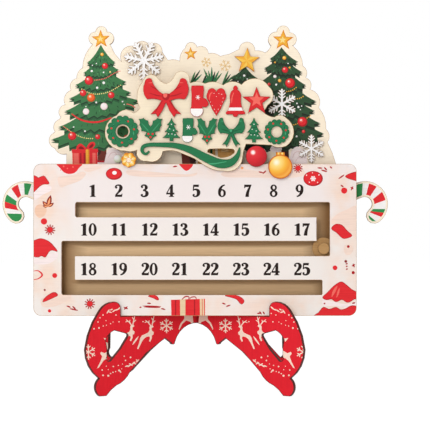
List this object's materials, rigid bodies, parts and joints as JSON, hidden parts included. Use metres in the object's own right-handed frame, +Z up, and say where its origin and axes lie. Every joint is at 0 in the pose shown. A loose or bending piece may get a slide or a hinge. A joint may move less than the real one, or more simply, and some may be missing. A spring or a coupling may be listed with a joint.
{
  "type": "countdown calendar",
  "caption": "Layered plywood countdown calendar on a crossed stand, with a number panel, a winding slide track and a marker, under a scenery board and sign.",
  "frame": {"origin": "on the ground, under the crossing of the two stand boards", "axes": "+Z up, the front faces -Y, +X to the right of someone who looks at the front"},
  "size_m": [0.304, 0.1002, 0.2894],
  "materials": {
    "printed_panel": "pale pink print on plywood",
    "printed_cream": "cream print on plywood",
    "bare_ply": "bare plywood",
    "printed_stand": "red print with cream pattern on plywood",
    "printed_cane": "red, white and green stripes on plywood",
    "printed_red": "red print on thin plywood",
    "printed_green": "green print on thin plywood",
    "printed_white": "white print on thin plywood",
    "printed_gold": "gold print on thin plywood"
  },
  "bodies": {
    "calendar": {"front_panel": "printed_panel", "back_panel": "bare_ply", "spacer_top": "bare_ply", "spacer_bottom": "bare_ply", "spacer_left": "bare_ply", "spacer_right": "bare_ply", "rib_upper": "bare_ply", "rib_lower": "bare_ply", "stand_board_left": "printed_stand", "stand_board_right": "printed_stand", "scenery_board": "printed_cream", "snowflake_left": "printed_white", "snowflake_right": "printed_white", "snowflake_low": "printed_white", "star_raised": "printed_gold", "bauble_pearl": "printed_white", "candy_cane_left": "printed_cane", "candy_cane_right": "printed_cane", "sign_backing": "printed_cream", "sign_bow": "printed_red", "sign_mitten": "printed_red", "sign_heart": "printed_red", "sign_bell": "printed_red", "sign_star": "printed_red", "sign_holly_left": "printed_green", "sign_fir_left": "printed_green", "sign_mitten_green": "printed_green", "sign_holly_middle": "printed_green", "sign_bow_green": "printed_green", "sign_fir_right": "printed_green", "sign_wreath": "printed_green", "sign_wreath_small": "printed_green", "sign_ribbon": "printed_green", "sign_standoff_left": "bare_ply", "sign_standoff_middle": "bare_ply", "sign_standoff_right": "bare_ply", "bauble_standoff": "bare_ply", "bauble_red": "printed_red", "bauble_gold": "printed_gold", "flower_gold": "printed_gold"},
    "marker": {"marker_flange": "bare_ply", "marker_knob": "bare_ply"}
  },
  "joints": [
    {"name": "marker_slide", "type": "slide", "parent": "calendar", "child": "marker", "axis": [1, 0, 0], "range_m": [-0.199, 0]}
  ]
}
